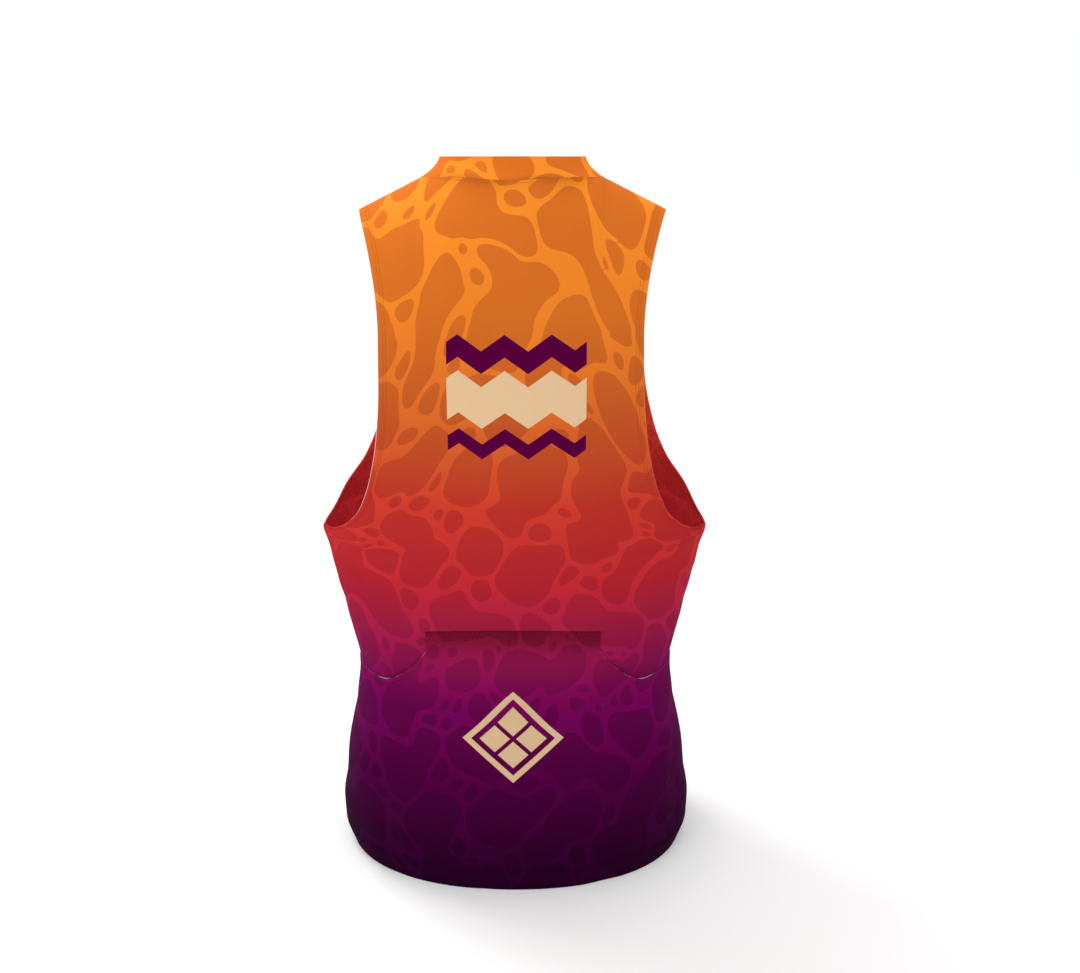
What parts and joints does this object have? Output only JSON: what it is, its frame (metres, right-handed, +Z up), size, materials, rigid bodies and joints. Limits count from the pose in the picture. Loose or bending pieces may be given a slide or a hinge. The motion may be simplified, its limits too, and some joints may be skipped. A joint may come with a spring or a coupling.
{
  "type": "triathlon top",
  "caption": "Sleeveless close-fitting sports top with a stand collar, a short front zip and a wide back pocket, keeping its hollow worn form.",
  "frame": {"origin": "inside the neck, level with the shoulders that hold the garment up, 605 mm above the hem", "axes": "+Z up from the hem to the collar, +Y towards the back, -Y towards the front and its zip"},
  "size_m": [0.3536, 0.2516, 0.639],
  "materials": {
    "knit": "matte stretch knit, printed orange at the shoulders through crimson to plum at the hem",
    "coil": "moulded coil on a woven tape",
    "zip_metal": "satin black lacquer"
  },
  "bodies": {
    "garment": {"back": "knit", "back_pocket": "knit", "front": "knit", "collar": "knit", "zip": "coil", "zip_slider": "zip_metal"},
    "pull": {"zip_pull": "zip_metal"}
  },
  "joints": [
    {"name": "pull_swing", "type": "hinge", "parent": "garment", "child": "pull", "pos_m": [0, -0.07304, -0.00838], "axis": [-1, 0, 0], "range_deg": [0, 150]}
  ]
}
